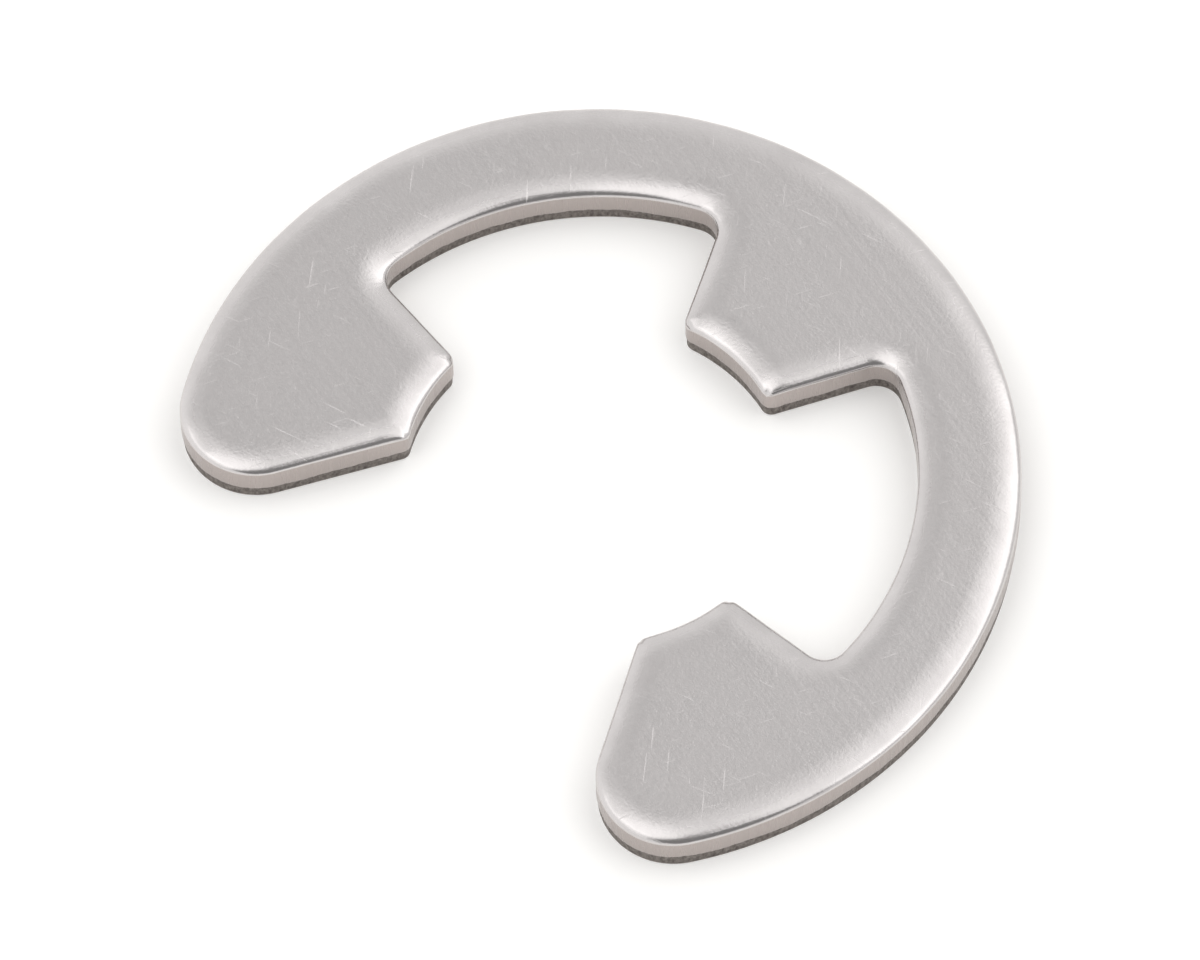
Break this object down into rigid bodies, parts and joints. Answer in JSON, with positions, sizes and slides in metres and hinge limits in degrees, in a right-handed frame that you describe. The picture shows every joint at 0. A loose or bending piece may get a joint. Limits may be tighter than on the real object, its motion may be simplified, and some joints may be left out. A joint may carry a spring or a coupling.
{
  "type": "e clip",
  "caption": "Flat spring-steel E clip that snaps sideways into a shaft groove on its inward lugs and stops parts sliding along the shaft.",
  "frame": {"origin": "centre of the circle that the lug ends lie on (the shaft's axis), in the plane of the burr face that the clip lies on", "axes": "+Z out of the rolled face and along the shaft, -Y out of the mouth between the end lugs, +Y through the centre lug, +X across the clip"},
  "size_m": [0.011, 0.0089, 0.0007],
  "materials": {
    "spring_steel": "barrel-tumbled stainless spring strip: satin faces, brighter rolled edge, dull fractured edge"
  },
  "bodies": {
    "root": {"e_clip": "spring_steel"}
  },
  "joints": []
}
